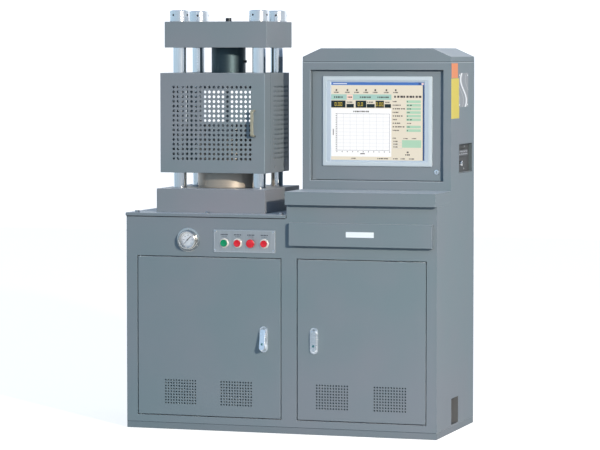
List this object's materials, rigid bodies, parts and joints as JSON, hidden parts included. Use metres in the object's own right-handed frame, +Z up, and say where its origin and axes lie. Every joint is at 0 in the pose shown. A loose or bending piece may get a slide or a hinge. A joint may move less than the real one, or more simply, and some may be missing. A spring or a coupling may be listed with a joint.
{
  "type": "concrete compression testing machine",
  "caption": "Four-column hydraulic press with a perforated guard on a cabinet, beside a console with a monitor, a keyboard drawer and controls.",
  "frame": {"origin": "middle of the base on the floor", "axes": "+Z up, front faces -Y, +X to the right seen from the front"},
  "size_m": [1.137, 0.5286, 1.474],
  "materials": {
    "plinth": "satin",
    "cabinet_paint": "satin",
    "inner_paint": "satin",
    "zinc": "satin",
    "frame_paint": "satin",
    "column_chrome": "polished",
    "nut_steel": "machined",
    "platen_steel": "ground",
    "spacer_steel": "blackened",
    "seat_bronze": "machined",
    "guard_paint": "satin",
    "handle_plastic": "matt",
    "lock_chrome": "satin",
    "gauge_steel": "gloss",
    "gauge_glass": "clear",
    "needle_black": "matt",
    "button_plate": "satin",
    "button_green": "gloss",
    "button_red": "gloss",
    "contact_plastic": "matt",
    "bezel_plastic": "satin",
    "screen_glass": "clear",
    "keyboard_plastic": "matt",
    "housing_plastic": "matt",
    "pump_paint": "satin"
  },
  "bodies": {
    "machine": {"base_frame": "plinth", "floor_sheets": "inner_paint", "front_fascia": "cabinet_paint", "left_side": "cabinet_paint", "middle_wall": "cabinet_paint", "right_side": "cabinet_paint", "rear_covers": "cabinet_paint", "work_plate": "cabinet_paint", "frame_bolts": "zinc", "inner_stand": "inner_paint", "drawer_runners": "zinc", "shelf": "cabinet_paint", "console_front": "cabinet_paint", "roof_cap": "cabinet_paint", "socket_panel": "inner_paint", "base_block": "frame_paint", "columns": "column_chrome", "column_nuts": "nut_steel", "crosshead": "frame_paint", "upper_spacer": "spacer_steel", "cylinder": "frame_paint", "guard_side_panels": "guard_paint", "guard_rear_panel": "guard_paint", "column_clamps": "guard_paint", "guard_hinge_pins": "zinc", "gauge_case": "gauge_steel", "gauge_glass": "gauge_glass", "button_plate": "button_plate", "contact_blocks": "contact_plastic", "oil_tank": "inner_paint", "pump_unit": "pump_paint", "computer": "housing_plastic", "control_box": "contact_plastic"},
    "guard_door": {"guard_door": "guard_paint", "guard_handle": "handle_plastic", "guard_hinge_leaves": "zinc"},
    "left_door": {"left_door": "cabinet_paint", "left_lock_body": "lock_chrome"},
    "left_lock_spindle": {"left_lock_spindle": "zinc"},
    "left_lock_lever": {"left_lock_lever": "lock_chrome"},
    "right_door": {"right_door": "cabinet_paint", "right_lock_body": "lock_chrome"},
    "right_lock_spindle": {"right_lock_spindle": "zinc"},
    "right_lock_lever": {"right_lock_lever": "lock_chrome"},
    "drawer": {"drawer_front": "cabinet_paint", "drawer_tray": "inner_paint", "keyboard": "keyboard_plastic"},
    "monitor_panel": {"monitor_panel": "cabinet_paint", "monitor_case": "bezel_plastic", "monitor_screen": "screen_glass"},
    "cam_lock": {"cam_lock": "lock_chrome"},
    "ram": {"ram": "platen_steel", "lower_platen": "platen_steel"},
    "seat_liner": {"seat_liner": "seat_bronze"},
    "upper_platen": {"upper_platen": "platen_steel"},
    "gauge_needle": {"gauge_needle": "needle_black"},
    "start_button": {"start_button": "button_green"},
    "stop_button": {"stop_button": "button_red"},
    "emergency_button": {"emergency_button": "button_red"},
    "reset_button": {"reset_button": "button_red"}
  },
  "joints": [
    {"name": "guard_door_hinge", "type": "hinge", "parent": "machine", "child": "guard_door", "pos_m": [-0.475, -0.101, 1.077], "axis": [0, 0, -1], "range_deg": [0, 110]},
    {"name": "left_door_hinge", "type": "hinge", "parent": "machine", "child": "left_door", "pos_m": [-0.5167, -0.246, 0.33], "axis": [0, 0, -1], "range_deg": [0, 110]},
    {"name": "right_door_hinge", "type": "hinge", "parent": "machine", "child": "right_door", "pos_m": [0.5207, -0.246, 0.33], "axis": [0, 0, 1], "range_deg": [0, 110]},
    {"name": "left_lock_turn", "type": "hinge", "parent": "left_door", "child": "left_lock_spindle", "pos_m": [-0.056, -0.24, 0.361], "axis": [0, -1, 0], "range_deg": [0, 90]},
    {"name": "right_lock_turn", "type": "hinge", "parent": "right_door", "child": "right_lock_spindle", "pos_m": [0.1275, -0.24, 0.361], "axis": [0, 1, 0], "range_deg": [0, 90]},
    {"name": "left_lever_pull", "type": "hinge", "parent": "left_lock_spindle", "child": "left_lock_lever", "pos_m": [-0.056, -0.2581, 0.361], "axis": [-1, 0, 0], "range_deg": [-13, 12]},
    {"name": "right_lever_pull", "type": "hinge", "parent": "right_lock_spindle", "child": "right_lock_lever", "pos_m": [0.1275, -0.2581, 0.361], "axis": [-1, 0, 0], "range_deg": [0, 25]},
    {"name": "drawer_slide", "type": "slide", "parent": "machine", "child": "drawer", "axis": [0, -1, 0], "range_m": [0, 0.25]},
    {"name": "monitor_panel_hinge", "type": "hinge", "parent": "machine", "child": "monitor_panel", "pos_m": [0.0655, -0.0555, 1.07], "axis": [0, 0, -1], "range_deg": [0, 100]},
    {"name": "cam_lock_turn", "type": "hinge", "parent": "monitor_panel", "child": "cam_lock", "pos_m": [0.511, -0.05, 0.909], "axis": [0, 1, 0], "range_deg": [0, 90]},
    {"name": "ram_lift", "type": "slide", "parent": "machine", "child": "ram", "axis": [0, 0, 1], "range_m": [0, 0.05]},
    {"name": "seat_tilt_side", "type": "hinge", "parent": "machine", "child": "seat_liner", "pos_m": [-0.2755, 0.0095, 1.194], "axis": [1, 0, 0], "range_deg": [-3, 3], "stiffness_Nm_per_rad": 60},
    {"name": "seat_tilt_front", "type": "hinge", "parent": "seat_liner", "child": "upper_platen", "pos_m": [-0.2755, 0.0095, 1.194], "axis": [0, 1, 0], "range_deg": [-3, 3], "stiffness_Nm_per_rad": 60},
    {"name": "needle_turn", "type": "hinge", "parent": "machine", "child": "gauge_needle", "pos_m": [-0.3345, -0.26, 0.67], "axis": [0, 1, 0], "range_deg": [0, 270], "stiffness_Nm_per_rad": 0.0005},
    {"name": "start_button_press", "type": "slide", "parent": "machine", "child": "start_button", "axis": [0, 1, 0], "range_m": [0, 0.0035], "stiffness_N_per_m": 800},
    {"name": "stop_button_press", "type": "slide", "parent": "machine", "child": "stop_button", "axis": [0, 1, 0], "range_m": [0, 0.0035], "stiffness_N_per_m": 800},
    {"name": "emergency_button_press", "type": "slide", "parent": "machine", "child": "emergency_button", "axis": [0, 1, 0], "range_m": [0, 0.0035], "stiffness_N_per_m": 800},
    {"name": "reset_button_press", "type": "slide", "parent": "machine", "child": "reset_button", "axis": [0, 1, 0], "range_m": [0, 0.0035], "stiffness_N_per_m": 800}
  ]
}
